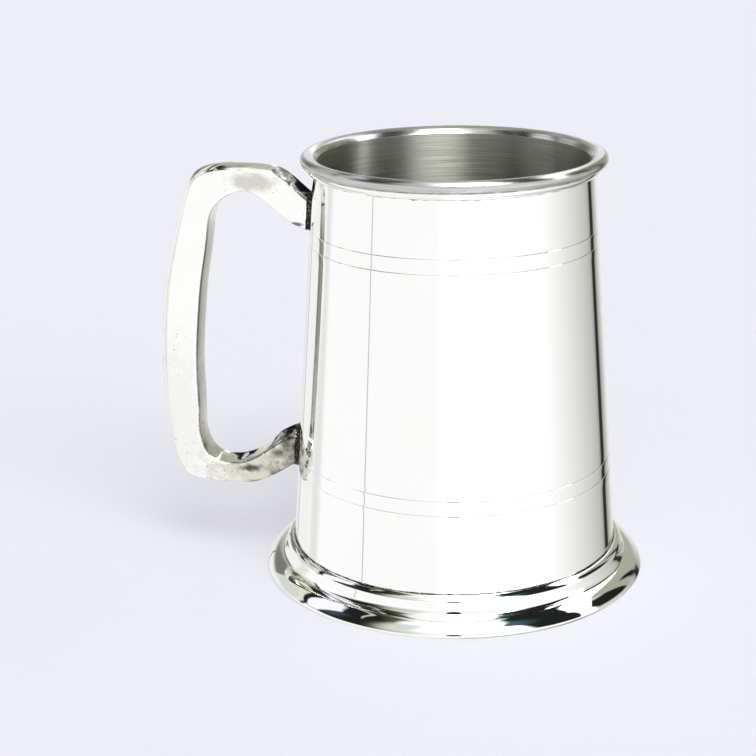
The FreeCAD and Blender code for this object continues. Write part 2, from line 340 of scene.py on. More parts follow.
class Curve:
    """A smooth curve through points, by a natural cubic in each coordinate."""

    def __init__(self, points):
        self.points = np.array(points, float)
        chord = np.hypot(*np.diff(self.points, axis=0).T)
        self.knots = np.concatenate([[0], np.cumsum(chord)])
        count = len(points)
        matrix = np.eye(count)
        right = np.zeros((count, 2))
        for i in range(1, count - 1):
            before, after = chord[i - 1], chord[i]
            matrix[i, i - 1:i + 2] = before, 2 * (before + after), after
            right[i] = 6 * (
                (self.points[i + 1] - self.points[i]) / after
                - (self.points[i] - self.points[i - 1]) / before
            )
        self.bend = np.linalg.solve(matrix, right)

    def at(self, where):
        """Points at distances along the chords."""
        where = np.clip(np.asarray(where, float), 0, self.knots[-1])
        i = np.clip(np.searchsorted(self.knots, where, side="right") - 1, 0, len(self.knots) - 2)
        width = (self.knots[i + 1] - self.knots[i])[..., None]
        left = ((self.knots[i + 1] - where)[..., None]) / width
        right = 1 - left
        return (
            left * self.points[i] + right * self.points[i + 1]
            + ((left**3 - left) * self.bend[i] + (right**3 - right) * self.bend[i + 1]) * width**2 / 6
        )

    def knot(self, number):
        """Distance along the chords of a point given by its number, which may lie between two."""
        return np.interp(number, np.arange(len(self.knots)), self.knots)


def meets_joint(curve, hidden, clear):
    """Where a curve comes out through the outer face of the solder."""
    for _ in range(60):
        middle = (hidden + clear) / 2
        out, height = curve.at(middle)
        if out > drum_radius(height) + JOINT_GAP:
            clear = middle
        else:
            hidden = middle
    return (hidden + clear) / 2


def handle_sections(count):
    """Outer and inner points of the side view at matched stations from joint to joint."""
    back, grip = Curve(HANDLE_BACK), Curve(HANDLE_GRIP)
    pairs = [(back.knot(on_back), grip.knot(on_grip)) for on_back, on_grip in HANDLE_MATCH]
    pairs[0] = [meets_joint(curve, 0, curve.knot(2)) for curve in (back, grip)]
    pairs[-1] = [
        meets_joint(curve, curve.knots[-1], curve.knot(clear)) for curve, clear in ((back, 17), (grip, 15))
    ]
    outer_at, inner_at = np.array(pairs).T
    station = np.linspace(0, 1, count)
    marks = (outer_at - outer_at[0]) / (outer_at[-1] - outer_at[0])
    outer_where = np.interp(station, marks, outer_at)
    inner_where = np.interp(station, marks, inner_at)
    width = max(3, count // 40)
    kernel = np.hanning(width * 2 + 1)
    kernel /= kernel.sum()
    for where in (outer_where, inner_where):
        where[:] = np.convolve(extended(where, width), kernel, "valid")
    return station, back.at(outer_where), grip.at(inner_where)


def section_shape(thickness, drop, crown):
    """Half a section from the middle of the grip side to the middle of the back: (y, height)."""
    half = HANDLE_DEPTH / 2
    inner_round, shoulder = 0.9, 0.55
    flat = half - inner_round
    points = [(y, crown * ((y / flat) ** 2 - 1)) for y in np.linspace(0, flat, 16)]
    for angle in np.linspace(0, math.pi / 2, 9)[1:]:
        points.append((flat + inner_round * math.sin(angle), inner_round * (1 - math.cos(angle))))
    side_top = thickness - drop
    for height in np.linspace(inner_round, side_top - 0.06, 22)[1:]:
        points.append((half, height))
    crown_foot = side_top + shoulder * 0.85
    # The sloping shoulder, with both its corners eased.
    points.append((half - 0.03, side_top + 0.02))
    points.append((half - 0.10, side_top + 0.10))
    points.append((half - shoulder + 0.10, crown_foot - 0.10))
    points.append((half - shoulder + 0.03, crown_foot - 0.02))
    rise = thickness - crown_foot
    for y in np.linspace(half - shoulder - 0.06, 0, 16):
        points.append((y, crown_foot + rise * (1 - (y / (half - shoulder)) ** 2)))
    return np.array(points)


def handle(name):
    """The cast handle, flat-sided with a crowned back and an eased grip; also its two end outlines."""
    station, outer, inner = handle_sections(HANDLE_STATIONS)
    # How far the crown stands proud of the flat sides: least at the arms, most at the grip.
    at_grip = np.clip(np.sin(math.pi * np.clip((station - 0.22) / 0.56, 0, 1)), 0, 1) ** 0.6
    at_lower_arm = np.clip((station - 0.80) / 0.12, 0, 1)
    drop = 1.75 + 0.85 * at_grip - 0.35 * at_lower_arm
    raised = np.clip((LOWER_CROWN_FROM - inner[:, 0]) / LOWER_CROWN_OVER, 0, 1) * (station > 0.5)
    crowns = GRIP_CROWN + (LOWER_CROWN - GRIP_CROWN) * raised**2 * (3 - 2 * raised)
    vertices = []
    for (back_out, back_up), (grip_out, grip_up), fall, crown in zip(outer, inner, drop, crowns):
        back, grip = np.array([-back_out, back_up]), np.array([-grip_out, grip_up])
        thickness = math.hypot(*(back - grip))
        across = (back - grip) / thickness
        half = section_shape(thickness, fall, crown)
        ring = np.vstack([half, half[-2:0:-1] * (-1, 1)])
        plane = grip + ring[:, 1:] * across
        vertices.append(np.stack([plane[:, 0], ring[:, 0], plane[:, 1]], 1))
    vertices = np.array(vertices)
    for end in (0, -1):
        ring = vertices[end]
        reach = drum_radius(ring[:, 2]) + JOINT_GAP
        ring[:, 0] = -np.sqrt(reach**2 - ring[:, 1] ** 2)
    rows, around = vertices.shape[:2]
    faces = bands(rows, around, flipped=True)
    faces.append(tuple(range(around)))
    faces.append(tuple(reversed(range((rows - 1) * around, rows * around))))
    return mesh_object(name, vertices.reshape(-1, 3), faces), vertices[0], vertices[-1]


# ------------------------------------------------ solder


def uneven(points, scale, seed):
    """Smooth noise, about -1 to 1, at points in millimetres; scale is lumps per millimetre."""
    shift = Vector((17.3, 5.1, 9.7)) * seed
    return np.array([noise.noise(Vector(point) * scale + shift) for point in points])


def solder_pad(name, end, seed):
    """Rough solder from the drum to a handle's end, spreading a little on the drum."""
    around, rows = 150, 13
    in_drum, on_handle = 0.1, 0.12
    loop = np.vstack([end, end[:1]])[:, 1:]
    along = np.concatenate([[0], np.cumsum(np.hypot(*np.diff(loop, axis=0).T))])
    where = np.linspace(0, along[-1], around, endpoint=False)
    loop = np.stack([np.interp(where, along, loop[:, k]) for k in (0, 1)], 1)
    ahead = np.roll(loop, -2, 0) - np.roll(loop, 2, 0)
    out = np.stack([ahead[:, 1], -ahead[:, 0]], 1) / np.hypot(*ahead.T)[:, None]
    if (out * (loop - loop.mean(0))).sum() < 0:
        out = -out
    vertices = []
    # Wide on the drum, pinched between, and thin on the handle.
    for step in np.linspace(0, 1, rows):
        spread = 0.10 + 0.75 * (1 - step) ** 2.5 - 0.16 * math.sin(math.pi * step)
        place = np.column_stack([np.full(around, step * 2.0), loop])
        lumps = 0.34 * uneven(place, 0.7, seed) + 0.22 * uneven(place, 1.9, seed + 1)
        ring = loop + out * (spread + lumps)[:, None]
        reach = drum_radius(ring[:, 1]) - in_drum + (JOINT_GAP + in_drum + on_handle) * step
        reach += 0.12 * uneven(place, 1.3, seed + 2) * (step == 1)
        vertices.append(np.column_stack([-np.sqrt(reach**2 - ring[:, 0] ** 2), ring]))
    faces = bands(rows, around)
    faces.append(tuple(reversed(range(around))))
    faces.append(tuple(range((rows - 1) * around, rows * around)))
    return outwards(mesh_object(name, np.vstack(vertices), faces))


def solder_seam(name, radius, height, over, up, seed, width):
    """A fine uneven fillet in a corner: over and up say which way its two legs run, 1 or -1.

    The section is drawn for legs of 1, and reaches a little into the metal on both sides.
    """
    steps = 1440
    angles = angles_round(steps)
    places = np.column_stack([radius * np.cos(angles), radius * np.sin(angles), np.full(steps, height)])
    size = 0.06 + width * np.clip(0.5 + 0.9 * uneven(places, 0.35, seed), 0, 1)
    size += 0.14 * np.clip(uneven(places, 1.6, seed + 1), 0, 1)
    rise = size * (1 + 0.5 * uneven(places, 0.8, seed + 2))
    section = [(-0.08, -0.08), (1.0, -0.08), (0.92, 0.12), (0.45, 0.5), (0.12, 0.92), (-0.08, 1.0)]
    vertices = []
    for leg_over, leg_up in section:
        out = radius + over * np.where(leg_over > 0, leg_over * size, leg_over)
        level = height + up * np.where(leg_up > 0, leg_up * rise, leg_up)
        out = out - TAPER * (level - height) * (leg_up > 0)
        vertices.append(np.column_stack([out * np.cos(angles), out * np.sin(angles), level]))
    return outwards(mesh_object(name, np.vstack(vertices), bands(len(section), steps, closed=True)))


def outwards(piece):
    """Turns a closed piece's faces to point out."""
    mesh = bmesh.new()
    mesh.from_mesh(piece.data)
    bmesh.ops.recalc_face_normals(mesh, faces=mesh.faces)
    mesh.to_mesh(piece.data)
    mesh.free()
    return piece


# ------------------------------------------------ pieces

drum = turned("drum", drum_outline(), 0.05, Ripple(3, 0.012, 9, 70.0))
rim = turned("rim", rim_outline(), 0.06, Ripple(5, 0.004, 12, 6.0))
foot = turned("foot", foot_outline(), 0.07, Ripple(7, 0.006, 10, 12.0))
base = floor_disc("floor_disc")
grip, upper_end, lower_end = handle("handle_casting")
upper_solder = solder_pad("upper_solder", upper_end, 11)
lower_solder = solder_pad("lower_solder", lower_end, 23)
collar_foot, foot_top = float(RIM_LOW[2]), float(FOOT_HIGH[2])
rim_solder = solder_seam("rim_solder", drum_radius(collar_foot), collar_foot, 1, -1, 31, 0.17)
foot_solder = solder_seam("foot_solder", drum_radius(foot_top), foot_top, 1, 1, 43, 0.22)

PIECES = (
    (drum, "body_drum", "polished_pewter"),
    (rim, "rim_moulding", "polished_pewter"),
    (foot, "foot_ring", "polished_pewter"),
    (base, "base_disc", "satin_pewter"),
    (grip, "handle", "polished_pewter"),
    (upper_solder, "upper_handle_solder", "solder"),
    (lower_solder, "lower_handle_solder", "solder"),
    (rim_solder, "rim_solder_seam", "solder"),
    (foot_solder, "foot_solder_seam", "solder"),
)
for piece, node, slot in PIECES:
    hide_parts(node)
    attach(piece, "root")

# ------------------------------------------------ nodes

# Scales metres to millimetres.
IN_MM = (1 / MM, 1 / MM, 1 / MM)


class Nodes:
    """Short ways to add nodes to a tree. A value is a number or another node's socket."""

    def __init__(self, tree):
        self.tree = tree

    def add(self, kind, **settings):
        """A new node with these settings."""
        node = self.tree.nodes.new(kind)
        for name, value in settings.items():
            setattr(node, name, value)
        return node

    def coordinates(self, kind="Object"):
        """The place on a piece in metres, or another kind of coordinates."""
        return self.add("ShaderNodeTexCoord").outputs[kind]

    def put(self, socket, value):
        """Gives a node's input its value."""
        if isinstance(value, bpy.types.NodeSocket):
            self.tree.links.new(value, socket)
        else:
            socket.default_value = value

    def math(self, operation, *values):
        """A sum on one to three values."""
        node = self.add("ShaderNodeMath", operation=operation)
        for socket, value in zip(node.inputs, values):
            self.put(socket, value)
        return node.outputs[0]

    def times(self, *values):
        """The product of any number of values."""
        total = values[0]
        for value in values[1:]:
            total = self.math("MULTIPLY", total, value)
        return total

    def split(self, vector):
        """A vector's three parts."""
        node = self.add("ShaderNodeSeparateXYZ")
        self.put(node.inputs[0], vector)
        return node.outputs

    def ramp(self, value, low, high, start=0.0, end=1.0, kind="SMOOTHSTEP"):
        """start below low, end above high, and a smooth change between them."""
        node = self.add("ShaderNodeMapRange", interpolation_type=kind)
        for name, number in (
            ("Value", value), ("From Min", low), ("From Max", high), ("To Min", start), ("To Max", end),
        ):
            self.put(node.inputs[name], number)
        return node.outputs["Result"]

    def above(self, value, edge, soft):
        """1 above the edge and 0 below it."""
        return self.ramp(value, edge - soft / 2, edge + soft / 2)

    def below(self, value, edge, soft):
        """1 below the edge and 0 above it."""
        return self.ramp(value, edge - soft / 2, edge + soft / 2, 1.0, 0.0)

    def between(self, value, low, high, soft):
        """1 from low to high and 0 outside, with edges this soft."""
        return self.times(self.above(value, low, soft), self.below(value, high, soft))

    def spot(self, where, centre, reach, wobble=None):
        """1 in the middle of a soft round patch, 0 outside it; centre and reach in the units of where."""
        node = self.add("ShaderNodeMapping", vector_type="TEXTURE")
        self.put(node.inputs["Vector"], where)
        node.inputs["Location"].default_value = centre
        node.inputs["Scale"].default_value = reach
        length = self.add("ShaderNodeVectorMath", operation="LENGTH")
        self.put(length.inputs[0], node.outputs[0])
        far = length.outputs["Value"]
        if wobble is not None:
            far = self.math("ADD", far, wobble)
        return self.ramp(far, 0.35, 1.1, 1.0, 0.0)

    def blend(self, first, second, share):
        """A colour this share of the way from the first to the second."""
        node = self.add("ShaderNodeMix", data_type="RGBA")
        self.put(node.inputs["Factor"], share)
        self.put(node.inputs[6], first)
        self.put(node.inputs[7], second)
        return node.outputs[2]

    def noise(self, where, scale, detail=2.0, roughness=0.5):
        """Cloudy noise, mostly from 0.3 to 0.7."""
        node = self.add("ShaderNodeTexNoise")
        self.put(node.inputs["Vector"], where)
        for name, number in (("Scale", scale), ("Detail", detail), ("Roughness", roughness)):
            self.put(node.inputs[name], number)
        return node.outputs["Fac"]

    def stretched(self, where, scale):
        """A place with each of its three parts scaled."""
        node = self.add("ShaderNodeMapping")
        self.put(node.inputs["Vector"], where)
        node.inputs["Scale"].default_value = scale
        return node.outputs["Vector"]

    def bump(self, height, strength, distance, below=None):
        """A surface direction roughened by height, on top of the one below."""
        node = self.add("ShaderNodeBump")
        self.put(node.inputs["Height"], height)
        self.put(node.inputs["Strength"], strength)
        self.put(node.inputs["Distance"], distance)
        if below is not None:
            self.put(node.inputs["Normal"], below)
        return node.outputs["Normal"]


METAL = {"Metallic": 1.0}


def new_material(name, settings):
    """A material that starts with these settings, its node helper and its shader."""
    material = bpy.data.materials.new(name)
    material.use_nodes = True
    shader = material.node_tree.nodes["Principled BSDF"]
    for setting, value in settings.items():
        shader.inputs[setting].default_value = value
    return material, Nodes(material.node_tree), shader


# ------------------------------------------------ materials


def polished_pewter(name):
    """Buffed pewter with a soft cloud of tarnish; dirt stays in the cut lines."""
    material, nodes, shader = new_material(name, METAL)
    place = nodes.coordinates()
    colour = nodes.blend((0.895, 0.905, 0.89, 1), (0.93, 0.94, 0.93, 1), nodes.noise(place, 45.0, 3.0))
    height = nodes.times(nodes.split(place)[2], 1 / MM)
    worn = nodes.ramp(nodes.noise(place, 160.0, 2.0), 0.35, 0.65, 0.25, 0.85)
    for line in LINES:
        dirt = nodes.times(nodes.between(height, line - 0.07, line + 0.07, 0.08), worn)
        colour = nodes.blend(colour, (0.56, 0.57, 0.53, 1), dirt)
    nodes.put(shader.inputs["Base Color"], colour)
    wipe = nodes.noise(nodes.stretched(place, (220.0, 220.0, 900.0)), 1.0, 4.0)
    nodes.put(shader.inputs["Roughness"], nodes.ramp(wipe, 0.3, 0.75, 0.02, 0.05))
    return material


def brush_round(nodes, shader, strength):
    """Fine scratches that run round the axis and smear the shine across them."""
    tangent = nodes.add("ShaderNodeTangent", direction_type="RADIAL", axis="Z")
    nodes.put(shader.inputs["Tangent"], tangent.outputs[0])
    shader.inputs["Anisotropic"].default_value = strength
    shader.inputs["Anisotropic Rotation"].default_value = 0.25


def rim_pewter(name):
    """Pewter dulled by handling on the bead and top, still bright on the collar."""
    material, nodes, shader = new_material(name, METAL)
    brush_round(nodes, shader, 0.75)
    place = nodes.coordinates()
    height = nodes.times(nodes.split(place)[2], 1 / MM)
    above_collar = nodes.ramp(height, 116.5, 117.0)
    strokes = nodes.ramp(nodes.noise(nodes.stretched(place, (70.0, 70.0, 5200.0)), 1.0, 3.0), 0.3, 0.7)
    dull = nodes.blend((0.44, 0.46, 0.44, 1), (0.60, 0.61, 0.59, 1), strokes)
    colour = nodes.blend((0.90, 0.90, 0.88, 1), dull, above_collar)
    worn = nodes.ramp(nodes.noise(place, 300.0, 3.0), 0.3, 0.6, 0.5, 0.95)
    crease = nodes.times(nodes.between(height, 116.45, 116.95, 0.3), worn)
    nodes.put(shader.inputs["Base Color"], nodes.blend(colour, (0.22, 0.21, 0.19, 1), crease))
    collar_rough = 0.05
    rougher = nodes.math("SUBTRACT", nodes.ramp(strokes, 0.0, 1.0, 0.27, 0.21), collar_rough)
    nodes.put(shader.inputs["Roughness"], nodes.math("MULTIPLY_ADD", above_collar, rougher, collar_rough))
    return material


# Colours of the handle's patches: oxide, and painted shade, painted reflections and a painted highlight.
DARK, BROWN, CREAM = (0.012, 0.011, 0.010, 1), (0.40, 0.345, 0.26, 1), (0.60, 0.57, 0.48, 1)
UMBER, OLIVE, BLUISH = (0.070, 0.060, 0.040, 1), (0.25, 0.25, 0.195, 1), (0.60, 0.64, 0.67, 1)
PAINTED_HIGHLIGHT, TARNISH_AND_PAINTED_REFLECTION = (0.95, 0.95, 0.94, 1), (0.075, 0.070, 0.042, 1)

# Patches on the handle: centre and reach in millimetres, then colour, how metallic and how strong.
# Some are oxide. Others stand for dark and pale things that the photograph's metal mirrors.
CAST_PATCHES = (
    ((-62, 0, 116.5), (17, 4.9, 2.6), (0.74, 0.75, 0.67, 1), 1, 0.85),
    # A bluish band down the back: painted reflection.
    ((-86, 0, 68), (3.6, 4.9, 46), BLUISH, 1, 0.8),
    ((-80, 0, 40), (15, 60, 30), (0.80, 0.79, 0.75, 1), 1, 0.55),
    ((-53, 0, 26), (24, 60, 13), CREAM, 1, 0.85),
    # Near the lower joint: partly oxide, partly painted shade and dark reflection.
    ((-43, 0, 32), (13, 60, 10), UMBER, 1, 0.9),
    ((-40.2, 0, 32), (7.0, 60, 13), DARK, 1, 1.0),
    # On the lower arm's upper side: painted dark reflections, with a painted highlight and a paler painted
    # reflection in them.
    ((-62.3, 3, 28.8), (5.6, 8.8, 3.0), DARK, 0, 1.0),
    ((-61.6, 0.5, 29.0), (1.0, 4, 1.8), PAINTED_HIGHLIGHT, 1, 1.0),
    ((-47.5, 3, 38.8), (10.5, 10.5, 5.2), DARK, 0, 1.0),
    ((-45.6, 1.5, 40.2), (1.2, 4.0, 2.4), (0.50, 0.50, 0.49, 1), 0, 1.0),
    # Dark spots and an umber band along the underside of the lower arm: painted shade and dark reflections.
    ((-58.8, -5, 26.6), (4.2, 4, 1.8), DARK, 1, 0.9),
    ((-56, 0, 22.4), (7, 9, 1.4), UMBER, 1, 0.9),
    ((-49, 0, 25.4), (6.0, 9, 2.0), DARK, 1, 0.95),
    ((-43, 0, 29.2), (5.0, 9, 2.4), DARK, 1, 0.98),
    ((-55.5, -5, 111.3), (8.5, 4, 3.4), BROWN, 1, 0.55),
    # Near the upper joint: partly oxide, partly painted dark reflections.
    ((-43.4, -5, 99.6), (2.6, 4, 0.8), DARK, 1, 0.85),
    ((-47.0, 1.5, 113.8), (4.6, 9.0, 3.2), TARNISH_AND_PAINTED_REFLECTION, 0, 0.98),
    ((-41.6, 1.5, 110.0), (5.8, 9.0, 4.8), DARK, 0, 1.0),
)


def grip_painted_shade(nodes, place, colour):
    """The grip's inside, which faces the drum, darkened with painted shade, most of all along its near edge.
    """
    facing = nodes.split(nodes.coordinates("Normal"))[0]
    spread = nodes.split(place)
    inward = nodes.times(nodes.ramp(facing, 0.45, 0.85), nodes.between(spread[2], 34, 98, 16))
    nearer = nodes.ramp(spread[1], -4.9, -2.9, 1.0, 0.0)
    colour = nodes.blend(colour, OLIVE, nodes.times(inward, 0.75))
    return nodes.blend(colour, UMBER, nodes.times(inward, nearer, 0.8))


def patched(nodes, place, colour):
    """The colour with its patches, and how metallic each place is."""
    wobble = nodes.ramp(nodes.noise(place, 0.35, 6.0, 0.6), 0.25, 0.75, 0.40, -0.30, "LINEAR")
    speckle = nodes.ramp(nodes.noise(place, 2.6, 3.0, 0.6), 0.35, 0.60, 0.86, 1.0)
    metallic = 1.0
    for centre, reach, shade, metal, cover in CAST_PATCHES:
        mask = nodes.times(nodes.spot(place, centre, reach, wobble), speckle, cover)
        if cover == 1.0:
            # The strongest have crisper edges.
            mask = nodes.ramp(mask, 0.0, 0.7)
        colour = nodes.blend(colour, shade, mask)
        metallic = nodes.math("MULTIPLY_ADD", mask, nodes.math("SUBTRACT", metal, metallic), metallic)
    return colour, metallic


def casting_pits(nodes, place):
    """1 inside small pits, scattered at random and thickest on the lower arm."""
    cells = nodes.add("ShaderNodeTexVoronoi")
    nodes.put(cells.inputs["Vector"], place)
    nodes.put(cells.inputs["Scale"], 0.95)
    chance = nodes.add("ShaderNodeSeparateColor")
    nodes.put(chance.inputs[0], cells.outputs["Color"])
    lower_arm = nodes.spot(place, (-70, 0, 28), (20, 60, 18))
    cloud = nodes.times(nodes.noise(place, 0.13, 1.0), 1.1)
    where = nodes.math("ADD", cloud, nodes.times(lower_arm, 0.26))
    pitted = nodes.ramp(nodes.math("ADD", where, nodes.times(chance.outputs[0], 0.5)), 0.99, 1.03)
    size = nodes.ramp(chance.outputs[1], 0.0, 1.0, 0.10, 0.24, "LINEAR")
    far = nodes.math("DIVIDE", cells.outputs["Distance"], size)
    return nodes.times(nodes.ramp(far, 0.7, 1.15, 1.0, 0.0), pitted)


def cast_pewter(name):
    """The handle's casting: bright faces with pits, brown oxide, darker metal near the joints, and painted
    shade and reflections near the joints and on the lower arm.
    """
    material, nodes, shader = new_material(name, {"Specular IOR Level": 0.0})
    place = nodes.stretched(nodes.coordinates(), IN_MM)
    colour = nodes.blend((0.91, 0.91, 0.895, 1), (0.955, 0.95, 0.935, 1), nodes.noise(place, 0.09, 3.0))
    colour, metallic = patched(nodes, place, grip_painted_shade(nodes, place, colour))
    pit = casting_pits(nodes, place)
    colour = nodes.blend(colour, (0.09, 0.08, 0.075, 1), nodes.times(pit, 0.9))
    nodes.put(shader.inputs["Base Color"], colour)
    # Oxide and painted dark reflections stay dark at a glancing view too.
    level = nodes.add("ShaderNodeRGBToBW")
    nodes.put(level.inputs[0], colour)
    nodes.put(shader.inputs["Specular Tint"], nodes.ramp(level.outputs[0], 0.05, 0.36))
    nodes.put(shader.inputs["Metallic"], metallic)
    rough = nodes.ramp(nodes.noise(place, 0.7, 4.0), 0.3, 0.7, 0.05, 0.11)
    nodes.put(shader.inputs["Roughness"], nodes.math("MULTIPLY_ADD", pit, 0.4, rough))
    waves = nodes.bump(nodes.noise(place, 0.12, 2.0), 0.2, 0.0009)
    nodes.put(shader.inputs["Normal"], nodes.bump(pit, 0.6, -0.00012, waves))
    return material


def satin_pewter(name):
    """The inside: metal brushed round and round, and darker and browner towards the floor."""
    material, nodes, shader = new_material(name, METAL)
    brush_round(nodes, shader, 1.0)
    place = nodes.coordinates()
    strokes = nodes.noise(nodes.stretched(place, (60.0, 60.0, 4500.0)), 1.0, 3.0)
    brushed = nodes.blend((0.40, 0.41, 0.36, 1), (0.58, 0.59, 0.53, 1), nodes.ramp(strokes, 0.3, 0.7))
    near_mouth = nodes.ramp(nodes.times(nodes.split(place)[2], 1 / MM), 62, 88)
    nodes.put(shader.inputs["Base Color"], nodes.blend((0.13, 0.13, 0.10, 1), brushed, near_mouth))
    nodes.put(shader.inputs["Roughness"], nodes.ramp(strokes, 0.3, 0.7, 0.33, 0.38))
    return material


def rough_solder(name):
    """Dark, rough solder with bright points where the oxide has been rubbed off."""
    material, nodes, shader = new_material(name, METAL)
    place = nodes.stretched(nodes.coordinates(), IN_MM)
    grain = nodes.noise(place, 1.9, 5.0, 0.65)
    fine = nodes.noise(place, 5.5, 3.0, 0.6)
    colour = nodes.blend((0.020, 0.017, 0.015, 1), (0.15, 0.12, 0.10, 1), nodes.ramp(grain, 0.44, 0.68))
    rubbed = nodes.times(nodes.ramp(fine, 0.56, 0.62), nodes.ramp(grain, 0.50, 0.58))
    nodes.put(shader.inputs["Base Color"], nodes.blend(colour, (0.88, 0.87, 0.82, 1), rubbed))
    nodes.put(shader.inputs["Roughness"], nodes.ramp(fine, 0.35, 0.65, 0.5, 0.22))
    nodes.put(shader.inputs["Normal"], nodes.bump(fine, 0.8, 0.00016, nodes.bump(grain, 0.8, 0.0004)))
    return material


polished = polished_pewter("polished_pewter")
satin = satin_pewter("satin_pewter")
solder = rough_solder("solder")
dulled = rim_pewter("rim_pewter")
for piece, material in (
    (drum, polished), (drum, satin), (drum, dulled), (rim, dulled), (foot, polished), (base, satin),
    (grip, cast_pewter("cast_pewter")), (upper_solder, solder), (lower_solder, solder),
    (rim_solder, solder), (foot_solder, solder),
):
    piece.data.materials.append(material)
# The one CAD piece that shows as it is, the solder under the floor.
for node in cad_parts.values():
    if not node.hide_render:
        node.data.materials.clear()
        node.data.materials.append(solder)

# The inside of the drum is brushed, and the mouth's edge is dulled like the rim round it.
INSIDE, MOUTH_EDGE = 1, 2
MOUTH_EDGE_HEIGHT = 1.5
for face in drum.data.polygons:
    out, height = math.hypot(face.center.x, face.center.y) / MM, face.center.z / MM
    if height > float(DRUM_HIGH[2]) - MOUTH_EDGE_HEIGHT and out < drum_radius(height) - 0.02:
        face.material_index = MOUTH_EDGE
    elif out < drum_radius(height) - WALL / 2:
        face.material_index = INSIDE

# ------------------------------------------------ studio

# Where the front of the studio lies, round from -Y towards +X.
FRONT = math.radians(7.0)
BACKGROUND = (0.855, 0.855, 0.922, 1)
BACKDROP_GLOW = 0.589
DARK_ROOM = (0.016, 0.018, 0.016)

KEY_STRENGTH = 1.3
KEY_WIDTH = math.radians(24)
KEY_HEIGHT = math.radians(27)

# The camera stands here, in metres, and turns by these angles; the focal length is in millimetres.
CAMERA_AT = Vector((0.05713, -0.46886, 0.20907))
PAN, PITCH, ROLL = math.radians(-9.5525), math.radians(18.0495), math.radians(-0.8022)
SENSOR_WIDTH = 36.0
FOCAL_LENGTH = 250 / 3


def grey(level):
    """White above 1, and slightly green the darker it is."""
    return (level, level, level * (1 - 0.16 * max(0.0, 1 - level)), 1)


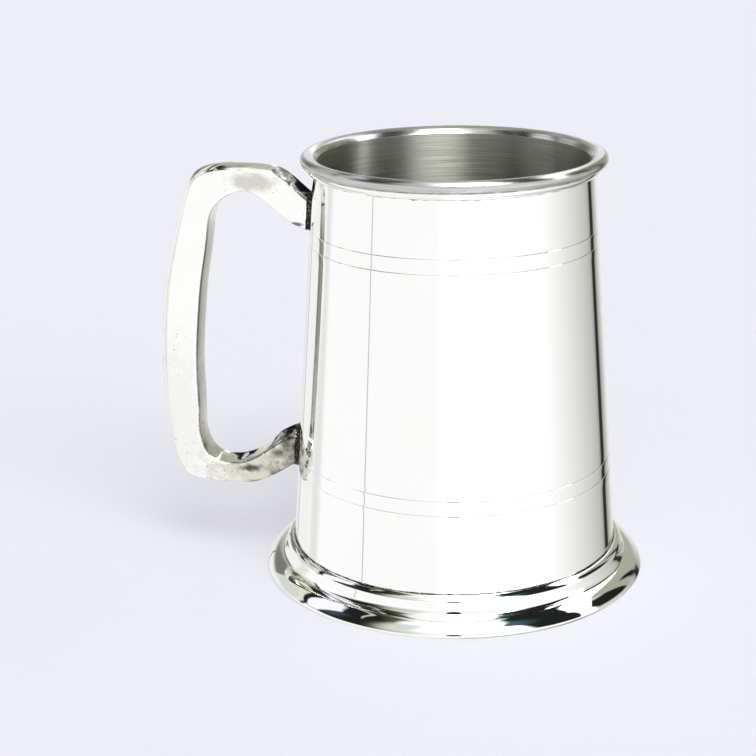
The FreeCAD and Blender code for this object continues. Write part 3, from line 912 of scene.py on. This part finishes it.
class Surroundings:
    """What the metal mirrors, laid down as colours by azimuth and elevation in degrees."""

    def __init__(self, nodes):
        self.nodes = nodes
        self.colour = (1.15, 1.15, 1.15, 1)
        turn = nodes.add("ShaderNodeVectorRotate", rotation_type="Z_AXIS")
        nodes.put(turn.inputs["Vector"], nodes.coordinates("Generated"))
        nodes.put(turn.inputs["Angle"], math.pi / 2 - FRONT)
        parts = nodes.split(turn.outputs[0])
        self.azimuth = nodes.math("DEGREES", nodes.math("ARCTAN2", parts[1], parts[0]))
        self.elevation = nodes.math("DEGREES", nodes.math("ARCSINE", parts[2]))
        self.from_front = nodes.math("ABSOLUTE", self.azimuth)

    def lay(self, shade, *masks):
        """Covers the place that all the masks share."""
        self.colour = self.nodes.blend(self.colour, (*shade, 1), self.nodes.times(*masks))

    def arch(self, centre, half_width, drop):
        """Elevation, raised towards both sides, so that an edge at one value looks like an arch."""
        off = self.nodes.math("DIVIDE", self.nodes.math("SUBTRACT", self.azimuth, centre), half_width)
        return self.nodes.math("MULTIPLY_ADD", self.nodes.math("MULTIPLY", off, off), drop, self.elevation)

    def lean(self, value, share, other):
        """other with a share of value added, so that an edge at one value slopes."""
        return self.nodes.math("MULTIPLY_ADD", value, share, other)

    def front(self):
        """A bright screen with a smudge on it, and two faint lines below."""
        azimuth, elevation, between, lay = self.azimuth, self.elevation, self.nodes.between, self.lay
        lay((2.2, 2.2, 2.1), between(azimuth, -30, 0, 14), between(elevation, 40, 76, 6))
        lay((12.0, 12.0, 12.0), between(azimuth, -9, 46, 10), between(elevation, 40, 76, 6))
        lay((0.62, 0.64, 0.60), between(azimuth, -60, 32, 3), between(elevation, 32.4, 34.4, 1.0))
        lay((0.55, 0.57, 0.54), between(azimuth, -60, 32, 3), between(elevation, 21.4, 23.0, 0.8))
        lay((0.90, 0.90, 0.88), between(azimuth, -26, 6, 10), between(elevation, 61, 66, 4))

    def left_room(self):
        """Haze beside a dark room, the room, and a pale edge along its top."""
        azimuth, elevation, between, lay = self.azimuth, self.elevation, self.nodes.between, self.lay
        above, below = self.nodes.above, self.nodes.below
        lay((0.74, 0.76, 0.68), between(azimuth, -80, -22, 30), between(elevation, 14, 66, 14))
        lay((0.46, 0.47, 0.42), between(azimuth, -80, -30, 36), between(elevation, 19, 31, 10))
        top = self.arch(-104, 58, 20)
        slope = self.lean(elevation, 0.28, azimuth)
        lay((0.12, 0.12, 0.08), below(slope, -40, 20), above(elevation, 16, 8), below(top, 77, 7))
        lay(DARK_ROOM, below(slope, -46, 16), above(elevation, 17, 8), below(top, 71, 9))
        lay((0.06, 0.075, 0.10), between(azimuth, -94, -78, 10), between(elevation, 24, 44, 12))
        pale_edge = self.arch(-112, 38, 15)
        lay((0.62, 0.60, 0.48), between(pale_edge, 64.3, 66.3, 1.4), between(azimuth, -152, -74, 10))

    def left_lamp(self):
        """A lamp in the dark room, with a board inside it and walls beyond."""
        azimuth, elevation, lay = self.azimuth, self.elevation, self.lay
        above, below = self.nodes.above, self.nodes.below
        top, foot = self.arch(-122, 33, 10), self.arch(-138, 33, 20)
        lay((1.05, 1.05, 1.14), below(top, 56, 3), below(azimuth, -89, 4), above(elevation, 17, 6))
        lay(DARK_ROOM, below(foot, 48.5, 2), below(azimuth, -99, 3), above(elevation, 4, 8))
        lay((0.82, 0.80, 0.69), below(foot, 42.5, 2), below(azimuth, -102.5, 3))
        lay((0.70, 0.73, 0.68), below(foot, 36.5, 2), below(azimuth, -108, 3))
        bulge = self.nodes.math("SUBTRACT", elevation, 14)
        edge = self.lean(self.nodes.math("MULTIPLY", bulge, bulge), 0.0155, azimuth)
        lay((0.20, 0.21, 0.17), below(edge, -134.5, 2), below(elevation, 28, 3))
        lay((0.55, 0.58, 0.53), below(azimuth, -160, 12), below(elevation, 28, 3))
        lay((1.10, 1.10, 1.12), below(azimuth, -168, 2), below(elevation, 14, 5))

    def right_room(self):
        """A dark room, teal at its upper left, with a lamp in it."""
        azimuth, elevation, lay = self.azimuth, self.elevation, self.lay
        above, below = self.nodes.above, self.nodes.below
        over = self.nodes.math("MAXIMUM", self.nodes.math("SUBTRACT", elevation, 50), 0)
        corner = self.lean(over, 1.9, azimuth)
        low_edge = self.lean(azimuth, 0.42, elevation)
        room = (above(corner, 52, 7), above(low_edge, 49, 5), below(self.arch(105, 60, 14), 75.5, 4))
        lay((0.07, 0.15, 0.165), *room)
        slope = self.nodes.math("SUBTRACT", azimuth, self.nodes.math("MULTIPLY", elevation, 1.1))
        lay(DARK_ROOM, *room, above(slope, 2, 40))
        lay(DARK_ROOM, *room, below(elevation, 50, 14))
        leg = self.lean(elevation, -0.35, azimuth)
        lay((3.0, 3.0, 3.0), below(self.arch(124, 36, 13), 57, 2), above(leg, 75, 3))

    def in_right_lamp(self):
        """Greyer things inside the right lamp, and dull walls behind."""
        azimuth, elevation, between, lay = self.azimuth, self.elevation, self.nodes.between, self.lay
        above, below = self.nodes.above, self.nodes.below
        low_edge = self.lean(azimuth, 0.42, elevation)
        edge = self.lean(elevation, -0.12, azimuth)
        inside = (below(self.arch(128, 30, 13), 44.5, 2), above(edge, 91, 3))
        lay((0.66, 0.67, 0.60), *inside)
        lay((0.42, 0.43, 0.35), *inside, above(azimuth, 124, 3), below(azimuth, 172, 30))
        lay(DARK_ROOM, *inside, between(azimuth, 96, 124, 3), between(low_edge, 58, 88, 5))
        post = self.lean(self.nodes.math("MINIMUM", elevation, 0), 0.3, azimuth)
        lay(DARK_ROOM, between(post, 133.5, 139.5, 3), below(elevation, 27, 8))
        lay((1.1, 1.1, 1.1), above(azimuth, 168, 3), below(elevation, 14, 5))
        lay((0.50, 0.51, 0.43), above(self.from_front, 166, 10), between(elevation, 18, 66, 8))

    def table(self):
        """The table and low walls, with a dark post in its own shade behind on the right."""
        azimuth, elevation, lay = self.azimuth, self.elevation, self.lay
        above, below, between = self.nodes.above, self.nodes.below, self.nodes.between
        low = self.nodes.blend(grey(1.05), grey(1.2), above(azimuth, -8, 14))
        for level, mask in (
            (0.84, between(azimuth, -125, -113, 8)),
            (0.95, below(azimuth, -127, 8)),
            (0.52, self.nodes.ramp(azimuth, 62, 132, kind="LINEAR")),
            (0.82, above(self.from_front, 155, 16)),
            (0.36, between(azimuth, 133, 147, 6)),
            (0.03, between(azimuth, 136, 143.5, 3)),
        ):
            low = self.nodes.blend(low, grey(level), mask)
        self.colour = self.nodes.blend(self.colour, low, below(elevation, 6, 12))
        # Two thin uprights.
        lay((0.50, 0.52, 0.53), between(azimuth, -67.1, -66.3, 0.5), below(elevation, 8, 8))
        lay((0.22, 0.22, 0.20), between(azimuth, -152.8, -151.6, 0.8), below(elevation, 8, 8))


def studio_light():
    """The light from all round, each part laid over those before it."""
    world = bpy.data.worlds.new("studio")
    bpy.context.scene.world = world
    world.use_nodes = True
    around = Surroundings(Nodes(world.node_tree))
    around.front()
    around.left_room()
    around.left_lamp()
    around.right_room()
    around.in_right_lamp()
    around.table()
    around.nodes.put(world.node_tree.nodes["Background"].inputs["Color"], around.colour)


def key_light():
    """A broad soft light from the right. It draws the long pale shadow and isn't mirrored in the metal."""
    lamp = bpy.data.lights.new("key", "SUN")
    lamp.energy = KEY_STRENGTH
    lamp.angle = KEY_WIDTH
    key = bpy.data.objects.new("key", lamp)
    bpy.context.scene.collection.objects.link(key)
    towards = Vector((-0.85, 0.53, -math.tan(KEY_HEIGHT)))
    key.rotation_euler = towards.to_track_quat("-Z", "Y").to_euler()
    key.visible_glossy = False


def floor_and_backdrop():
    """A pale table that runs up into a pale backdrop all round, seen only by the camera."""
    steps, rings = 96, 6
    table_reach, wall_height, bend = 2200.0, 2000.0, 800.0
    profile = [(table_reach * ring / rings, 0.0) for ring in range(1, rings + 1)]
    for angle in np.linspace(0, math.pi / 2, 17)[1:]:
        profile.append((table_reach + bend * math.sin(angle), bend * (1 - math.cos(angle))))
    profile.append((table_reach + bend, wall_height))
    angles = angles_round(steps)
    vertices = [(out * math.cos(angle), out * math.sin(angle), up) for out, up in profile for angle in angles]
    faces = bands(len(profile), steps, flipped=True) + [tuple(range(steps))]
    backdrop = mesh_object("backdrop", vertices, faces)
    settings = {
        "Base Color": (0.20, 0.20, 0.215, 1), "Roughness": 1.0, "Specular IOR Level": 0.0,
        "Emission Color": BACKGROUND, "Emission Strength": BACKDROP_GLOW,
    }
    backdrop.data.materials.append(new_material("backdrop", settings)[0])
    backdrop.visible_glossy = False
    backdrop.visible_diffuse = False
    backdrop.visible_shadow = False


def lens():
    """The dark camera, taller than wide, where it would stand; seen only as a reflection."""
    half_width, half_height = 39.0, 66.3
    centre = CAMERA_AT * 1.02
    facing = (-centre).normalized()
    side = facing.cross(Vector((0, 0, 1))).normalized()
    upward = side.cross(facing)
    ring = [
        centre / MM + half_width * math.cos(angle) * side + half_height * math.sin(angle) * upward
        for angle in angles_round(48)
    ]
    disc = mesh_object("lens", ring, [tuple(range(len(ring)))])
    settings = {"Base Color": (0.004, 0.004, 0.005, 1), "Roughness": 0.6}
    disc.data.materials.append(new_material("lens", settings)[0])
    disc.visible_camera = False
    disc.visible_shadow = False
    disc.visible_diffuse = False


studio_light()
key_light()
floor_and_backdrop()
lens()
bpy.context.scene.view_settings.view_transform = "Standard"
bpy.context.scene.cycles.glossy_bounces = 10

# ------------------------------------------------ camera


def aim(camera):
    """Stands the camera in its place, turned, tipped and rolled."""
    forward = Vector((math.sin(PAN) * math.cos(PITCH), math.cos(PAN) * math.cos(PITCH), -math.sin(PITCH)))
    level = Vector((math.cos(PAN), -math.sin(PAN), 0))
    upright = level.cross(forward)
    right = math.cos(ROLL) * level + math.sin(ROLL) * upright
    upright = -math.sin(ROLL) * level + math.cos(ROLL) * upright
    turned_to = Matrix((right, upright, -forward)).transposed().to_4x4()
    camera.matrix_world = Matrix.Translation(CAMERA_AT) @ turned_to


camera_data = bpy.data.cameras.new("camera")
camera_data.sensor_width = SENSOR_WIDTH
camera_data.lens = FOCAL_LENGTH
camera_data.clip_start = 0.01
camera_data.clip_end = 20.0
camera = bpy.data.objects.new("camera", camera_data)
bpy.context.scene.collection.objects.link(camera)
aim(camera)
bpy.context.scene.camera = camera
